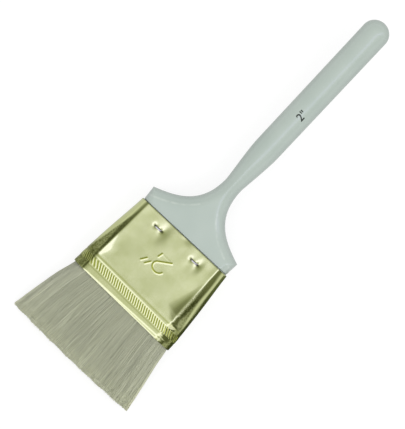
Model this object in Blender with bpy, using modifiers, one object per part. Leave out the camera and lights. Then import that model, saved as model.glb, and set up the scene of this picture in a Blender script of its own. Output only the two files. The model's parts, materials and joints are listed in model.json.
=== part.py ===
"""Flat paint brush of the 2 inch class: a wide, thin wash brush with a wooden handle.

The brush lies on its back, the way it rests on a table: the ferrule's lip bead and the
crowns of the two back staples touch the ground, the handle's end and the bristles are clear.
Every piece is modelled in the brush's own frame, which an empty then carries to that stance:

    x  along the brush, 0 at the ferrule's lip, towards the handle's end
    y  across the width
    z  through the thickness, + is the front

All lengths are in metres.
"""

import math

import bmesh
import bpy
from mathutils import Matrix, Vector

# Ferrule: one strip of thin sheet, closed round the brush and pressed to shape.
FERRULE_LENGTH = 0.0365
LIP_WIDTH = 0.0510  # outside, at the bristles
RIM_WIDTH = 0.0450  # outside, at the handle
GIRTH = 0.1128  # outside, the length of the strip: the same at the lip as at the rim
PANEL_WIDTH = 0.0384  # the flat front and back, from crease to crease
SHEET = 0.00035
END_INSET = 0.0050  # how far inside its crease the centre of each rounded end lies
LIP_EXPONENT = 2.0  # the rounded ends are elliptical at the lip
RIM_EXPONENT = 3.5  # and squarer at the rim

# Pressed rings round the ferrule, measured from the lip to their crests.
BEAD_HEIGHT = 0.00035
LIP_BEAD_PLACE = 0.0020
LIP_BEAD_WIDTH = 0.0027
INNER_BEAD_PLACE = 0.0075
INNER_BEAD_WIDTH = 0.0013

# Staples, two on the front and two on the back.
STAPLE_WIRE = 0.00095
STAPLE_CROWN = 0.0043  # outside length
STAPLE_LEG = 0.0062
STAPLE_SPACING = 0.0192  # between the two staples of one side
STAPLE_FROM_RIM = 0.0046
STAPLE_BEND = 0.0007  # radius of the wire's centre line at its corners
DIMPLE_RADIUS = 0.0032  # the hollow that the staple pulls into the sheet
DIMPLE_DEPTH = 0.00050

# Handle, measured from the ferrule's rim.
TANG_LENGTH = 0.0165  # hidden in the ferrule
SHOULDER_LENGTH = 0.0061  # rim to corner
SHOULDER_WIDTH = 0.0448  # corner to corner
SHOULDER_RIM_WIDTH = 0.0438
SHOULDER_THICKNESS = 0.0146
SHOULDER_CUT_ANGLE = math.radians(20)  # of the hollow curve, from straight across
SHOULDER_CUT_PULL = 0.0095  # how far the curve keeps that direction
NECK_CUT_PULL = 0.0147
ROUND_OVER = 0.0053  # radius routed along every edge of the handle
ARRIS = 0.00015  # what the rounding leaves standing at the edge of the flat faces
NECK_PLACE = 0.0280
NECK_WIDTH = 0.0075
NECK_THICKNESS = 0.0120
THINNING_START = 0.0205
NECK_GRIP_PULL = 0.0015
GRIP_PLACE = 0.0475
GRIP_WIDTH = 0.0111
GRIP_PULL = 0.0055
GRIP_END_WIDTH = 0.0115
HANDLE_LENGTH = 0.1146
END_ROUND = 0.0056

# Hair: the free length, from the lip to the tip.
BRISTLE_LENGTH = 0.0294
TIP_WIDTH = 0.0604
TIP_THICKNESS = 0.0080
TIP_BOW = 0.0011  # how much shorter the corners of the tip are than its middle
FLEX_PLACE = 0.0018  # the axis about which the hair bends lies this far outside the lip

# Setting inside the ferrule, measured from the lip.
RESIN_START = 0.0125
SPACER_START = 0.0075
SPACER_WIDTH = 0.0360
SPACER_THICKNESS = 0.0030

# Clearances.
FIT_GAP = 0.0003  # between pieces that touch
LEG_GAP = 0.00012  # round each staple leg
CROWN_GAP = 0.00012  # under a staple's crown
OVERCUT = 0.0010  # how far a cutter runs past what it cuts

# Smoothness.
END_STEPS = 8  # from a crease to the middle of a side
BEAD_STEPS = 6
DIMPLE_STEPS = 3  # from the middle of a dimple to its edge
CUT_STEPS = 18
NECK_STEPS = 10
DOME_STEPS = 8
ROUND_STEPS = 6
HINGE_STEPS = 12  # half a turn
TIP_STEPS = 4
SMOOTH_ANGLE = math.radians(28)

LACQUER = (0.49, 0.57, 0.53)
BRASS = (0.62, 0.63, 0.31)
STEEL = (0.62, 0.60, 0.56)
HAIR = (0.36, 0.35, 0.27)
RESIN = (0.55, 0.40, 0.16)
BIRCH = (0.62, 0.45, 0.27)


def start_clean():
    for old in list(bpy.data.objects):
        bpy.data.objects.remove(old)


def new_collection(name):
    made = bpy.data.collections.new(name)
    bpy.context.scene.collection.children.link(made)
    return made


def finish(name, colour, roughness, metallic=0.0):
    material = bpy.data.materials.new(name)
    material.use_nodes = True
    shader = material.node_tree.nodes["Principled BSDF"]
    shader.inputs["Base Color"].default_value = (*colour, 1.0)
    shader.inputs["Roughness"].default_value = roughness
    shader.inputs["Metallic"].default_value = metallic
    return material


def add_mesh(name, bm, collection, material=None):
    """Closes the bmesh into a named object with its faces pointing out."""
    bmesh.ops.remove_doubles(bm, verts=bm.verts, dist=1e-6)
    bmesh.ops.recalc_face_normals(bm, faces=bm.faces)
    mesh = bpy.data.meshes.new(name)
    bm.to_mesh(mesh)
    bm.free()
    mesh.shade_smooth()
    mesh.set_sharp_from_angle(angle=SMOOTH_ANGLE)
    if material:
        mesh.materials.append(material)
    made = bpy.data.objects.new(name, mesh)
    collection.objects.link(made)
    return made


def loft(rings, capped=True):
    """A skin over closed rings that all have the same number of points."""
    bm = bmesh.new()
    rows = [[bm.verts.new(point) for point in ring] for ring in rings]
    for row, after in zip(rows, rows[1:]):
        for i in range(len(row)):
            j = (i + 1) % len(row)
            bm.faces.new((row[i], row[j], after[j], after[i]))
    if capped:
        bm.faces.new(rows[0])
        bm.faces.new(rows[-1])
    return bm


def use_as_cutter(target, cutter, operation="DIFFERENCE"):
    cutter.hide_render = True
    cutter.display_type = "WIRE"
    cut = target.modifiers.new(cutter.name, "BOOLEAN")
    cut.operation = operation
    cut.solver = "EXACT"
    cut.object = cutter


def spaced(start, end, steps):
    return [start + (end - start) * i / steps for i in range(steps + 1)]


def smooth_step(low, high, value):
    t = min(max((value - low) / (high - low), 0.0), 1.0)
    return t * t * (3 - 2 * t)


# The ferrule's section --------------------------------------------------------------------


def rounded_end(half_width, half_thickness, exponent, crease, steps):
    """A quarter of a section: (y, z) from the crease, where the flat panel ends, to the side."""
    centre = crease - END_INSET
    reach = half_width - centre
    start = END_INSET / reach
    rise = half_thickness / (1 - start**exponent) ** (1 / exponent)
    first = math.acos(start ** (exponent / 2))
    points = []
    for turn in spaced(first, 0.0, steps):
        y = centre + reach * math.cos(turn) ** (2 / exponent)
        z = rise * math.sin(turn) ** (2 / exponent)
        points.append((y, z))
    return points


def girth_of(half_width, half_thickness, exponent):
    crease = PANEL_WIDTH / 2
    end = rounded_end(half_width, half_thickness, exponent, crease, 60)
    return 4 * (crease + sum(math.dist(a, b) for a, b in zip(end, end[1:])))


def half_thickness_for(width, exponent):
    """The half thickness that uses up the whole girth at a given width."""
    low, high = 0.001, width
    for _ in range(50):
        middle = (low + high) / 2
        if girth_of(width / 2, middle, exponent) < GIRTH:
            low = middle
        else:
            high = middle
    return low


LIP_HALF_THICKNESS = half_thickness_for(LIP_WIDTH, LIP_EXPONENT)
RIM_HALF_THICKNESS = half_thickness_for(RIM_WIDTH, RIM_EXPONENT)


def along_ferrule(at_lip, at_rim, x):
    return at_lip + (at_rim - at_lip) * x / FERRULE_LENGTH


def panel_height(x):
    """How far the outside of the flat panels is from the middle plane."""
    return along_ferrule(LIP_HALF_THICKNESS, RIM_HALF_THICKNESS, x)


def whole_section(quarter, flats=()):
    """A closed ring of (y, z) from one quarter, with extra points across both flat panels."""
    front = [(y, z) for y, z in quarter]
    height = quarter[0][1]
    back_side = [(y, -z) for y, z in reversed(quarter[:-1])]
    right = front + back_side
    across = [(y, -height) for y in reversed(flats)]
    left = [(-y, -z) for y, z in right]
    return right + across + left + [(y, height) for y in flats]


def ferrule_section(x, inset=0.0, flats=()):
    """The ring of the ferrule's outside at x, or of a piece that lies inset within it."""
    half_width = along_ferrule(LIP_WIDTH, RIM_WIDTH, x) / 2 - inset
    exponent = along_ferrule(LIP_EXPONENT, RIM_EXPONENT, x)
    quarter = rounded_end(half_width, panel_height(x) - inset, exponent, PANEL_WIDTH / 2, END_STEPS)
    return [Vector((x, y, z)) for y, z in whole_section(quarter, flats)]


# The ferrule ------------------------------------------------------------------------------


def bead_profile(x, place, width):
    across = 2 * (x - place) / width
    return BEAD_HEIGHT * math.cos(across * math.pi / 2) if abs(across) < 1 else 0.0


def bead_height(x):
    """How far the two pressed rings stand out at x."""
    lip_bead = bead_profile(x, LIP_BEAD_PLACE, LIP_BEAD_WIDTH)
    inner_bead = bead_profile(x, INNER_BEAD_PLACE, INNER_BEAD_WIDTH)
    return lip_bead + inner_bead


def swollen(ring, amount):
    """The ring with each point moved outwards in its own plane, square to its neighbours."""
    moved = []
    for i, point in enumerate(ring):
        along = ring[(i + 1) % len(ring)] - ring[i - 1]
        outward = Vector((0, -along.z, along.y)).normalized()
        moved.append(point + outward * amount * (1 if outward.dot(point) > 0 else -1))
    return moved


def staple_places():
    """(side, x, y) of each staple's middle: side is 1 on the front and -1 on the back."""
    x = FERRULE_LENGTH - STAPLE_FROM_RIM
    return [(side, x, hand * STAPLE_SPACING / 2) for side in (1, -1) for hand in (1, -1)]


def dimple_sphere_radius():
    return (DIMPLE_RADIUS**2 + DIMPLE_DEPTH**2) / (2 * DIMPLE_DEPTH)


def dimple_depth(x, y):
    radius = dimple_sphere_radius()
    for _, staple_x, staple_y in staple_places():
        away = math.hypot(x - staple_x, y - staple_y)
        if away < DIMPLE_RADIUS:
            return math.sqrt(radius**2 - away**2) - (radius - DIMPLE_DEPTH)
    return 0.0


def dimpled(ring):
    """Panel points near a staple sink by the depth of its dimple."""
    flat_edge = PANEL_WIDTH / 2
    return [
        Vector((p.x, p.y, p.z - math.copysign(dimple_depth(p.x, p.y), p.z)))
        if abs(p.y) < flat_edge
        else p
        for p in ring
    ]


def around(centre):
    """Places across a dimple, from edge to edge."""
    return [centre + DIMPLE_RADIUS * i / DIMPLE_STEPS for i in range(-DIMPLE_STEPS, DIMPLE_STEPS + 1)]


def ferrule_stations():
    lip_bead = spaced(-LIP_BEAD_WIDTH / 2, LIP_BEAD_WIDTH / 2, BEAD_STEPS)
    inner_bead = spaced(-INNER_BEAD_WIDTH / 2, INNER_BEAD_WIDTH / 2, BEAD_STEPS)
    beads = [LIP_BEAD_PLACE + x for x in lip_bead] + [INNER_BEAD_PLACE + x for x in inner_bead]
    dimples = around(FERRULE_LENGTH - STAPLE_FROM_RIM)
    return [0.0, *beads, *dimples, FERRULE_LENGTH]


def make_ferrule(parts, cutters):
    columns = around(-STAPLE_SPACING / 2) + [0.0] + around(STAPLE_SPACING / 2)
    rings = []
    for x in ferrule_stations():
        ring = ferrule_section(x, flats=columns)
        rings.append(dimpled(swollen(ring, bead_height(x))))
    bm = loft(rings, capped=False)
    ferrule = add_mesh("ferrule", bm, parts, finish("brass_plate", BRASS, 0.22, 1.0))
    sheet = ferrule.modifiers.new("sheet", "SOLIDIFY")
    sheet.thickness = SHEET
    sheet.offset = -1
    sheet.use_even_offset = True
    use_as_cutter(ferrule, leg_drills("ferrule_leg_holes", cutters))
    return ferrule


# Staples ----------------------------------------------------------------------------------


def crown_centre_height(x):
    """Height of the middle of the crown's wire above the middle plane."""
    return panel_height(x) - DIMPLE_DEPTH + CROWN_GAP + STAPLE_WIRE / 2


def staple_route(x, y, side):
    """The wire's centre line: down one leg, round two bends and down the other."""
    half = (STAPLE_CROWN - STAPLE_WIRE) / 2
    top = crown_centre_height(x)
    foot = top - STAPLE_LEG
    one_side = [Vector((x, half, foot)), Vector((x, half, foot + STAPLE_WIRE))]
    for turn in spaced(0.0, math.pi / 2, 3):
        bend_y = half - STAPLE_BEND * (1 - math.cos(turn))
        bend_z = top - STAPLE_BEND * (1 - math.sin(turn))
        one_side.append(Vector((x, bend_y, bend_z)))
    other = [Vector((p.x, -p.y, p.z)) for p in reversed(one_side)]
    return [Vector((p.x, p.y + y, p.z * side)) for p in one_side + other]


def make_staple(name, place, parts, material):
    side, x, y = place
    route = staple_route(x, y, side)
    curve = bpy.data.curves.new(name, "CURVE")
    curve.dimensions = "3D"
    curve.bevel_depth = STAPLE_WIRE / 2
    curve.bevel_resolution = 2
    curve.use_fill_caps = True
    wire = curve.splines.new("POLY")
    wire.points.add(len(route) - 1)
    for point, at in zip(wire.points, route):
        point.co = (*at, 1.0)
    for foot in (wire.points[0], wire.points[-1]):
        foot.radius = 0.35  # the points that were driven into the wood
    curve.materials.append(material)
    staple = bpy.data.objects.new(name, curve)
    parts.objects.link(staple)
    return staple


def make_staples(parts):
    material = finish("staple_steel", STEEL, 0.3, 1.0)
    names = {1: "front", -1: "back"}
    hands = {1: "left", -1: "right"}
    staples = []
    for place in staple_places():
        side, _, y = place
        name = f"staple_{names[side]}_{hands[int(math.copysign(1, y))]}"
        staples.append(make_staple(name, place, parts, material))
    return staples


def leg_drills(name, cutters):
    """All eight leg holes, from outside the sheet to past the legs' points."""
    bm = bmesh.new()
    leg_offset = (STAPLE_CROWN - STAPLE_WIRE) / 2
    radius = STAPLE_WIRE / 2 + LEG_GAP
    for side, x, y in staple_places():
        outer = panel_height(x) + OVERCUT
        inner = crown_centre_height(x) - STAPLE_LEG - FIT_GAP
        for hand in (1, -1):
            middle = Matrix.Translation((x, y + hand * leg_offset, side * (outer + inner) / 2))
            bmesh.ops.create_cone(
                bm,
                cap_ends=True,
                segments=12,
                radius1=radius,
                radius2=radius,
                depth=outer - inner,
                matrix=middle,
            )
    return add_mesh(name, bm, cutters)


# Handle -----------------------------------------------------------------------------------


def handle_section(x, half_width, half_thickness):
    """A ring of the plank, with rounded edges like those of the ferrule's rim."""
    crease = half_width - (RIM_WIDTH - PANEL_WIDTH) / 2
    quarter = rounded_end(half_width, half_thickness, RIM_EXPONENT, crease, END_STEPS)
    return [Vector((x, y, z)) for y, z in whole_section(quarter)]


def handle_blank():
    """The plank before it is routed: a tang that slides in through the rim, then the wide body."""
    inset = SHEET + FIT_GAP
    body_start = FERRULE_LENGTH + FIT_GAP
    body_end = FERRULE_LENGTH + HANDLE_LENGTH + OVERCUT
    spread = (SHOULDER_WIDTH - SHOULDER_RIM_WIDTH) / 2 / SHOULDER_LENGTH
    rings = []
    for x in (FERRULE_LENGTH - TANG_LENGTH, body_start):
        rings.append(handle_section(x, RIM_WIDTH / 2 - inset, panel_height(x) - inset))
    for x in (body_start, body_end):
        half_width = SHOULDER_RIM_WIDTH / 2 + spread * (x - FERRULE_LENGTH)
        rings.append(handle_section(x, half_width, SHOULDER_THICKNESS / 2))
    return loft(rings)


def bezier(start, start_pull, end_pull, end, steps):
    """Points of a cubic curve in the plan, without the last one."""
    points = []
    for t in spaced(0.0, 1.0, steps)[:-1]:
        s = 1 - t
        points.append(s**3 * start + 3 * s * s * t * start_pull + 3 * s * t * t * end_pull + t**3 * end)
    return points


def handle_outline():
    """Half of the handle's plan from the shoulder to the end, as (x, y), past the corner outwards."""
    corner = Vector((FERRULE_LENGTH + SHOULDER_LENGTH, SHOULDER_WIDTH / 2))
    towards_neck = Vector((math.sin(SHOULDER_CUT_ANGLE), -math.cos(SHOULDER_CUT_ANGLE)))
    neck = Vector((FERRULE_LENGTH + NECK_PLACE, NECK_WIDTH / 2))
    grip = Vector((FERRULE_LENGTH + GRIP_PLACE, GRIP_WIDTH / 2))
    dome = Vector((FERRULE_LENGTH + HANDLE_LENGTH - END_ROUND, GRIP_END_WIDTH / 2))
    outline = [corner - towards_neck * ROUND_OVER]
    outline += bezier(
        corner,
        corner + towards_neck * SHOULDER_CUT_PULL,
        neck - Vector((NECK_CUT_PULL, 0)),
        neck,
        CUT_STEPS,
    )
    outline += bezier(
        neck, neck + Vector((NECK_GRIP_PULL, 0)), grip - Vector((GRIP_PULL, 0)), grip, NECK_STEPS
    )
    outline.append(grip)
    for turn in spaced(0.0, math.pi / 2, DOME_STEPS):
        outline.append(dome + Vector((END_ROUND * math.sin(turn), dome.y * (math.cos(turn) - 1))))
    return outline


def inward_normals(outline):
    """Unit vectors into the handle, square to the outline at each of its points."""
    normals = []
    for i, point in enumerate(outline):
        before = outline[max(i - 1, 0)]
        after = outline[min(i + 1, len(outline) - 1)]
        along = (after - before).normalized()
        normals.append(Vector((along.y, -along.x)))
    return normals


def rounding_at(x, half_width):
    """(half thickness, radius) of the routed edge at x: the grip is round, the rest is flatter."""
    from_rim = x - FERRULE_LENGTH
    thick = SHOULDER_THICKNESS / 2 + ARRIS
    thin = NECK_THICKNESS / 2
    thinning_end = 2 * NECK_PLACE - THINNING_START
    height = thick + (thin - thick) * smooth_step(THINNING_START, thinning_end, from_rim)
    to_round = smooth_step(NECK_PLACE, GRIP_PLACE, from_rim)
    height += (GRIP_WIDTH / 2 - thin) * to_round
    if from_rim > GRIP_PLACE:
        height = half_width
    return height, ROUND_OVER + (height - ROUND_OVER) * to_round


def edge_columns():
    """For each outline point, the (x, y, z) points of the routed edge from the wall to the top."""
    outline = handle_outline()
    dome_centre = Vector((FERRULE_LENGTH + HANDLE_LENGTH - END_ROUND, 0))
    columns = []
    for point, inward in zip(outline, inward_normals(outline)):
        if point.x > dome_centre.x:
            height = radius = GRIP_END_WIDTH / 2
            to_top = dome_centre - point
            widest = math.pi / 2
        else:
            height, radius = rounding_at(point.x, point.y)
            to_top = inward * radius
            to_middle = point.y / -inward.y
            widest = math.acos(1 - min(to_middle / radius, 1))
        column = []
        for turn in spaced(0.0, widest, ROUND_STEPS):
            at = point + to_top * (1 - math.cos(turn))
            column.append(Vector((at.x, max(at.y, 0.0), height + radius * (math.sin(turn) - 1))))
        columns.append(column)
    return columns


def routed_form():
    """A quarter of the routed outline as a solid open at y = 0 and z = 0, wider than the blank."""
    columns = edge_columns()
    top = columns[0][-1].z
    outer = columns[0][0]
    base_x = FERRULE_LENGTH - TANG_LENGTH - OVERCUT
    bm = bmesh.new()
    grid = [[bm.verts.new(Vector((c[0].x, c[0].y, 0)))] + [bm.verts.new(p) for p in c] for c in columns]
    for column, after in zip(grid, grid[1:]):
        for k in range(len(column) - 1):
            bm.faces.new((column[k], after[k], after[k + 1], column[k + 1]))
    reach_middle = next(i for i, c in enumerate(columns) if c[-1].y < 1e-7)
    flat_edge = [c[-1] for c in grid[: reach_middle + 1]]
    middle, middle_top = (bm.verts.new((base_x, 0, z)) for z in (0, top))
    wide, wide_top = (bm.verts.new((base_x, outer.y, z)) for z in (0, top))
    outer_top = bm.verts.new((outer.x, outer.y, top))
    bm.faces.new((middle_top, wide_top, outer_top, *flat_edge))
    bm.faces.new((middle, wide, wide_top, middle_top))
    bm.faces.new((wide, grid[0][0], grid[0][1], outer_top, wide_top))
    bm.faces.new((outer_top, *grid[0][1:]))
    return bm


def make_handle(parts, cutters):
    handle = add_mesh("handle", handle_blank(), parts, finish("lacquered_beech", LACQUER, 0.25))
    routed = add_mesh("routed_form", routed_form(), cutters)
    halves = routed.modifiers.new("halves", "MIRROR")
    halves.use_axis = (False, True, True)
    halves.merge_threshold = 0.00001
    use_as_cutter(handle, routed, "INTERSECT")
    use_as_cutter(handle, leg_drills("tang_leg_holes", cutters))
    use_as_cutter(handle, dimple_pockets(cutters))
    return handle


def dimple_pockets(cutters):
    """Spheres that leave room in the tang for the sheet's dimples."""
    bm = bmesh.new()
    radius = dimple_sphere_radius()
    for side, x, y in staple_places():
        height = panel_height(x) + radius - DIMPLE_DEPTH
        bmesh.ops.create_uvsphere(
            bm,
            u_segments=20,
            v_segments=32,
            radius=radius + SHEET + FIT_GAP,
            matrix=Matrix.Translation((x, y, side * height)),
        )
    return add_mesh("dimple_pockets", bm, cutters)


# Hair and its setting ---------------------------------------------------------------------


def hair_profile(grown=0.0):
    """(y, z) of the front half of the hair's section at the lip, from side to side."""
    inset = SHEET + FIT_GAP - grown
    half_width = LIP_WIDTH / 2 - inset
    crease = PANEL_WIDTH / 2
    quarter = rounded_end(half_width, LIP_HALF_THICKNESS - inset, LIP_EXPONENT, crease, END_STEPS)
    return [(-y, z) for y, z in reversed(quarter)] + [(y, z) for y, z in quarter]


def turned_about_flex(bm, profile, angle, steps):
    """The profile turned about the flexing axis, through the inside of the ferrule."""
    points = [bm.verts.new((-FLEX_PLACE, y, z)) for y, z in profile]
    edges = [bm.edges.new(pair) for pair in zip(points, points[1:])]
    bmesh.ops.spin(
        bm,
        geom=points + edges,
        cent=(-FLEX_PLACE, 0, 0),
        axis=(0, 1, 0),
        angle=angle,
        steps=steps,
    )


def tip_ring(profile, share):
    """The hair's ring at a share of the way from the flexing axis to the tip."""
    half_width = profile[-1][0]
    half_thickness = max(z for _, z in profile)
    wider = 1 + (TIP_WIDTH / 2 / half_width - 1) * share
    thinner = 1 + (TIP_THICKNESS / 2 / half_thickness - 1) * share
    length = BRISTLE_LENGTH - FLEX_PLACE
    ring = profile + [(y, -z) for y, z in reversed(profile[1:-1])]
    return [
        Vector((-FLEX_PLACE - length * share + TIP_BOW * share * (y / half_width) ** 2, y * wider, z * thinner))
        for y, z in ring
    ]


def make_bristles(parts, material):
    """The free hair: rounded where it turns in its seat, flared and thinned towards the tip."""
    profile = hair_profile()
    rings = [tip_ring(profile, share) for share in spaced(0.0, 1.0, TIP_STEPS)]
    bm = loft(rings, capped=False)
    bm.faces.new(bm.verts[-len(rings[0]):])
    turned_about_flex(bm, profile, math.pi, HINGE_STEPS)
    return add_mesh("bristles", bm, parts, material)


def make_bristle_root(parts, cutters, material):
    """The hair inside the ferrule's mouth, hollowed for the free hair to turn in."""
    inset = SHEET + FIT_GAP
    stations = (FIT_GAP, RESIN_START - FIT_GAP)
    root = add_mesh("bristle_root", loft([ferrule_section(x, inset) for x in stations]), parts, material)
    bm = bmesh.new()
    turned_about_flex(bm, hair_profile(FIT_GAP), 2 * math.pi, 2 * HINGE_STEPS)
    use_as_cutter(root, add_mesh("bristle_seat", bm, cutters))
    use_as_cutter(root, spacer_box("root_slot", FIT_GAP, cutters))
    return root


def make_resin(parts, cutters):
    """The set resin that bonds the hair's ends, up to the tang."""
    inset = SHEET + FIT_GAP
    stations = (RESIN_START, FERRULE_LENGTH - TANG_LENGTH - FIT_GAP)
    bm = loft([ferrule_section(x, inset) for x in stations])
    resin = add_mesh("resin_setting", bm, parts, finish("resin", RESIN, 0.35))
    use_as_cutter(resin, spacer_box("resin_slot", FIT_GAP, cutters))
    return resin


def spacer_box(name, grown, collection, material=None):
    """The strip that keeps a hollow in the middle of the hair, or the slot for it."""
    end = FERRULE_LENGTH - TANG_LENGTH - FIT_GAP + (OVERCUT if grown else 0.0)
    start = SPACER_START - grown
    size = (end - start, SPACER_WIDTH + 2 * grown, SPACER_THICKNESS + 2 * grown)
    bm = bmesh.new()
    bmesh.ops.create_cube(bm, size=1.0, matrix=Matrix.Diagonal((*size, 1.0)))
    bmesh.ops.translate(bm, vec=((start + end) / 2, 0, 0), verts=bm.verts)
    return add_mesh(name, bm, collection, material)


# Stance -----------------------------------------------------------------------------------


def resting_tilt():
    """The angle at which the lip bead and the back staples' crowns touch the ground together."""
    staple_x = FERRULE_LENGTH - STAPLE_FROM_RIM
    staple_low = crown_centre_height(staple_x) + STAPLE_WIRE / 2
    bead_low = panel_height(LIP_BEAD_PLACE) + BEAD_HEIGHT
    return math.atan2(staple_low - bead_low, staple_x - LIP_BEAD_PLACE)


def world_corners(pieces):
    """Lowest and highest corner of the pieces as they stand."""
    graph = bpy.context.evaluated_depsgraph_get()
    points = []
    for piece in pieces:
        evaluated = piece.evaluated_get(graph)
        mesh = evaluated.to_mesh()
        points += [evaluated.matrix_world @ v.co for v in mesh.vertices]
        evaluated.to_mesh_clear()
    low = [min(p[i] for p in points) for i in range(3)]
    high = [max(p[i] for p in points) for i in range(3)]
    return low, high


def set_down(pieces, cutters):
    """Parents everything to one empty, tilts it to rest and centres it over the ground."""
    stance = bpy.data.objects.new("stance", None)
    bpy.context.scene.collection.objects.link(stance)
    for piece in [*pieces, *cutters.objects]:
        piece.parent = stance
    stance.rotation_euler = (0, -resting_tilt(), 0)
    bpy.context.view_layer.update()
    low, high = world_corners(pieces)
    stance.location = (-(low[0] + high[0]) / 2, -(low[1] + high[1]) / 2, -low[2])
    return stance


def give_bristles_their_axis(bristles, stance):
    """Moves the free hair's origin onto the flexing axis without moving the hair."""
    place = Vector((-FLEX_PLACE, 0, 0))
    bristles.data.transform(Matrix.Translation(-place))
    bristles.location = place
    bristles.parent = stance


def main():
    start_clean()
    parts = new_collection("paint_brush")
    cutters = new_collection("cutters")
    hair = finish("hair", HAIR, 0.6)
    bristles = make_bristles(parts, hair)
    pieces = [
        make_handle(parts, cutters),
        make_ferrule(parts, cutters),
        *make_staples(parts),
        make_resin(parts, cutters),
        spacer_box("spacer_strip", 0.0, parts, finish("birch", BIRCH, 0.6)),
        make_bristle_root(parts, cutters, hair),
        bristles,
    ]
    stance = set_down(pieces, cutters)
    give_bristles_their_axis(bristles, stance)


main()
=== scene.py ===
"""Looks of the flat paint brush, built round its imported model.

Each piece is modelled in the brush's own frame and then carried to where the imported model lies:

    x  along the brush, 0 at the ferrule's lip, towards the handle's end
    y  across the width
    z  through the thickness, + is the front

All lengths are in metres.
"""

import json
import math

import bmesh
import bpy
import numpy as np
from mathutils import Matrix, Vector, noise
from mathutils.bvhtree import BVHTree


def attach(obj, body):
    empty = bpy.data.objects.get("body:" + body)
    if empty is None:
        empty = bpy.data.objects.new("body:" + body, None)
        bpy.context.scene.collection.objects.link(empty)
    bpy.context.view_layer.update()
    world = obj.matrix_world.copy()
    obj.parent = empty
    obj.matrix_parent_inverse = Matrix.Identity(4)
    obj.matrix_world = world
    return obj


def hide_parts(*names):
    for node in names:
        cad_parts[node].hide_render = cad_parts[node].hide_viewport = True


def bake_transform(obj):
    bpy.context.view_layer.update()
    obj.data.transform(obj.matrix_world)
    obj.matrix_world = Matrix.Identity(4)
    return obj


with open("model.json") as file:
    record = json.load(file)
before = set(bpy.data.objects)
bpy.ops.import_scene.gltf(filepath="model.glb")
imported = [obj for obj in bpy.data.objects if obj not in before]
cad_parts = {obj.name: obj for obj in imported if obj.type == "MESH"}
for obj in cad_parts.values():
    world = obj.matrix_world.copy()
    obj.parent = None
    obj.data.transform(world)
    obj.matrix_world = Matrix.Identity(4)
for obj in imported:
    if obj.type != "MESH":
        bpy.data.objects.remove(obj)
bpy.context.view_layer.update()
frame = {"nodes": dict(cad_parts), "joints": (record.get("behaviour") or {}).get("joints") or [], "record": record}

MM = 0.001

# Where the brush lies: its axes from the two flat faces of the ferrule, its origin from the joint.
FLEX_PLACE = 1.8 * MM  # from the lip to the axis that the hair bends about
MOUNT_AXES = {m["name"]: Vector(m["axis"]) for m in frame["record"]["mounts"]}
ACROSS = Vector((0, 1, 0))
FRONT = (MOUNT_AXES["ferrule_front"] - MOUNT_AXES["ferrule_back"]).normalized()
ALONG = ACROSS.cross(FRONT)
LIP = Vector(frame["joints"][0]["pos_m"]) + ALONG * FLEX_PLACE
STANCE = Matrix.Translation(LIP) @ Matrix((ALONG, ACROSS, FRONT)).transposed().to_4x4()

HANDLE_BODY = "handle_and_ferrule"


def brush_points(node):
    """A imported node's vertices in the brush's own frame."""
    points = np.array([v.co for v in frame["nodes"][node].data.vertices])
    turn = np.array([ALONG, ACROSS, FRONT])
    return (points - np.array(LIP)) @ turn.T


def half_size_at(points, x, axis):
    """Half the width (axis 1) or thickness (axis 2) of a node where it ends at x."""
    near = points[np.abs(points[:, 0] - x) < 0.02 * MM]
    return np.abs(near[:, axis]).max()


FERRULE_POINTS = brush_points("ferrule")
RIM_X = FERRULE_POINTS[:, 0].max()  # the end of the ferrule away from the hair
LIP_HALF_WIDTH = half_size_at(FERRULE_POINTS, 0, 1)
LIP_HALF_THICKNESS = half_size_at(FERRULE_POINTS, 0, 2)
RIM_HALF_WIDTH = half_size_at(FERRULE_POINTS, RIM_X, 1)
RIM_HALF_THICKNESS = half_size_at(FERRULE_POINTS, RIM_X, 2)
HANDLE_END = brush_points("handle")[:, 0].max()
HAIR_POINTS = brush_points("bristles")
HAIR_LENGTH = -HAIR_POINTS[:, 0].min()
TIP_HALF_WIDTH = HAIR_POINTS[:, 1].max()
TIP_HALF_THICKNESS = 4.0 * MM

# Ferrule.
HALF_PANEL = 19.2 * MM  # from the middle to the crease where the flat front and back end
END_INSET = 5.0 * MM
LIP_EXPONENT = 2.0
RIM_EXPONENT = 3.5
SHEET = 0.35 * MM
LIP_SKEW = 0.018  # how far out of square the lip and the pressed lines beside it run
STAPLE_X = RIM_X - 4.6 * MM
STAPLE_YS = (-9.6 * MM, 9.6 * MM)
STAPLE_LEG_Y = 1.675 * MM  # from the middle of a staple to the middle of each leg
LEG_YS = [middle + hand * STAPLE_LEG_Y for middle in STAPLE_YS for hand in (-1, 1)]

# The band of slanted ribs between the two beads.
PANEL_RIBS = 34
END_RIBS = 16
COLUMNS_PER_RIB = 5  # and twice as many within the band
RIB_LEAN = 1.4  # how many ribs the band runs round from its lip side to its handle side
RIB_BAND = (3.55 * MM, 6.65 * MM)
RIB_HEIGHT = 0.067 * MM

# Corners that the press left curled: hand; low end, knee and high end of the folds as (x, y) in mm;
# how much more the fold by the hair counts; how fast the sheet curls up past both, per metre; the
# slope at which it stays straight.
CORNER_FOLDS = (
    (-1, ((7.6, 19.1), (13.3, 12.9), (31.0, 19.2)), 1.8, 25, 0.17),
    (1, ((8.4, 17.4), (14.3, 14.7), (23.5, 19.2)), 1.0, 9, 0.05),
    (1, ((8.2, 18.4), (12.8, 17.0), (23.0, 19.5)), 1.0, 95, 0.11),
)

# Bright lines through the painted shade of the right end, painted highlights along its folds, as (x, y) in mm.
END_FOLD_HIGHLIGHTS = (((13, -20.2), (10.6, -21.3), (8.6, -23.2)), ((11.5, -19.9), (9.4, -20.9)))

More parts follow.
